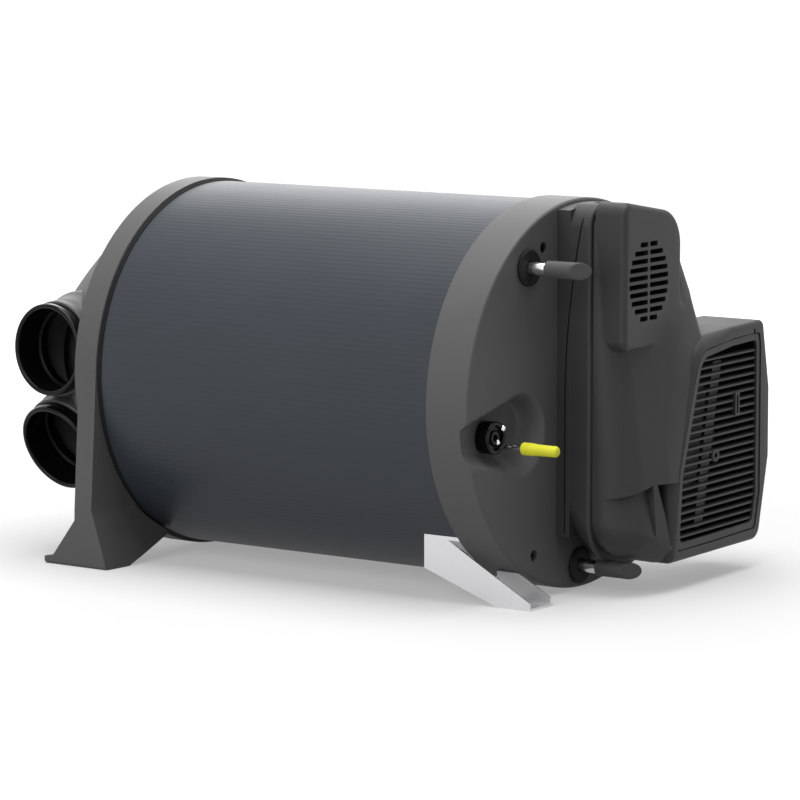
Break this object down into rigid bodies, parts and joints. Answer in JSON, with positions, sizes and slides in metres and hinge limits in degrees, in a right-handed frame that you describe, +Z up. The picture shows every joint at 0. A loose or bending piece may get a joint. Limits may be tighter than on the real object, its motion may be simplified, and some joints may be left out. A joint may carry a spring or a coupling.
{
  "type": "caravan air and water heater",
  "caption": "Lying drum heater with an annular water tank, warm-air outlets on a domed end, a hood with an air intake grille on the other end, and steel and moulded feet.",
  "frame": {"origin": "on the floor, under the middle of the outer box; the drum's axis lies 14.5 mm to the front of it and 151 mm up", "axes": "+X along the drum from the air distributor to the hood, -Y to the front with the water and fuel connections, +Z up"},
  "size_m": [0.5375, 0.341, 0.3],
  "materials": {
    "cap_plastic": "fine-grained moulded plastic",
    "outlet_plastic": "glossy black",
    "black_rubber": "matt rubber",
    "jacket_sheet": "fine-ribbed satin skin",
    "foam": "moulded foam",
    "stainless": "drawn stainless sheet",
    "cast_aluminium": "as cast",
    "fan_plastic": "natural moulded plastic",
    "motor_steel": "dark painted steel",
    "hood_plastic": "fine-grained charcoal plastic",
    "board": "green board",
    "chrome_tube": "bright tube",
    "grey_cap": "soft plastic",
    "yellow_cap": "bright yellow soft plastic",
    "brass_fitting": "machined",
    "bracket_steel": "zinc-plated sheet",
    "screw_steel": "blackened"
  },
  "bodies": {
    "heater": {"distributor_cap": "cap_plastic", "air_chamber": "cap_plastic", "outlet_upper_front": "outlet_plastic", "outlet_lower_front": "outlet_plastic", "outlet_upper_rear": "outlet_plastic", "outlet_lower_rear": "outlet_plastic", "jacket_seal": "black_rubber", "jacket": "jacket_sheet", "insulation": "foam", "water_tank": "stainless", "heat_exchanger": "cast_aluminium", "combustion_chamber": "stainless", "burner_flange": "stainless", "burner_head": "stainless", "glow_plug": "stainless", "blower_housing": "cast_aluminium", "combustion_fan_motor": "motor_steel", "end_cap": "cap_plastic", "hood": "hood_plastic", "intake_housing": "hood_plastic", "intake_grille": "hood_plastic", "fan_mount": "hood_plastic", "circulation_fan_motor": "motor_steel", "control_board": "board", "hot_water_grommet": "black_rubber", "hot_water_nipple": "chrome_tube", "cold_water_grommet": "black_rubber", "cold_water_nipple": "chrome_tube", "cold_water_block": "brass_fitting", "fuel_plug": "outlet_plastic", "fuel_pipe": "chrome_tube", "front_bracket": "bracket_steel", "rear_bracket": "bracket_steel", "bracket_screws": "screw_steel", "end_cap_screws": "screw_steel", "exhaust_stub": "stainless", "combustion_air_stub": "outlet_plastic", "water_temperature_sensor": "brass_fitting", "overheat_switch": "outlet_plastic"},
    "combustion_fan": {"combustion_fan_wheel": "fan_plastic", "combustion_fan_shaft": "stainless"},
    "circulation_fan": {"circulation_fan_wheel": "fan_plastic"},
    "hot_cap": {"hot_water_cap": "grey_cap"},
    "cold_cap": {"cold_water_cap": "grey_cap"},
    "fuel_line_cap": {"fuel_cap": "yellow_cap"}
  },
  "joints": [
    {"name": "combustion_fan_spin", "type": "hinge", "parent": "heater", "child": "combustion_fan", "pos_m": [0.188, -0.0145, 0.151], "axis": [1, 0, 0], "continuous": true},
    {"name": "circulation_fan_spin", "type": "hinge", "parent": "heater", "child": "circulation_fan", "pos_m": [0.218, 0.0835, 0.113], "axis": [1, 0, 0], "continuous": true},
    {"name": "hot_cap_pull", "type": "slide", "parent": "heater", "child": "hot_cap", "axis": [1, 0, 0], "range_m": [0, 0.03]},
    {"name": "cold_cap_pull", "type": "slide", "parent": "heater", "child": "cold_cap", "axis": [1, 0, 0], "range_m": [0, 0.03]},
    {"name": "fuel_cap_pull", "type": "slide", "parent": "heater", "child": "fuel_line_cap", "axis": [1, 0, 0], "range_m": [0, 0.03]}
  ]
}
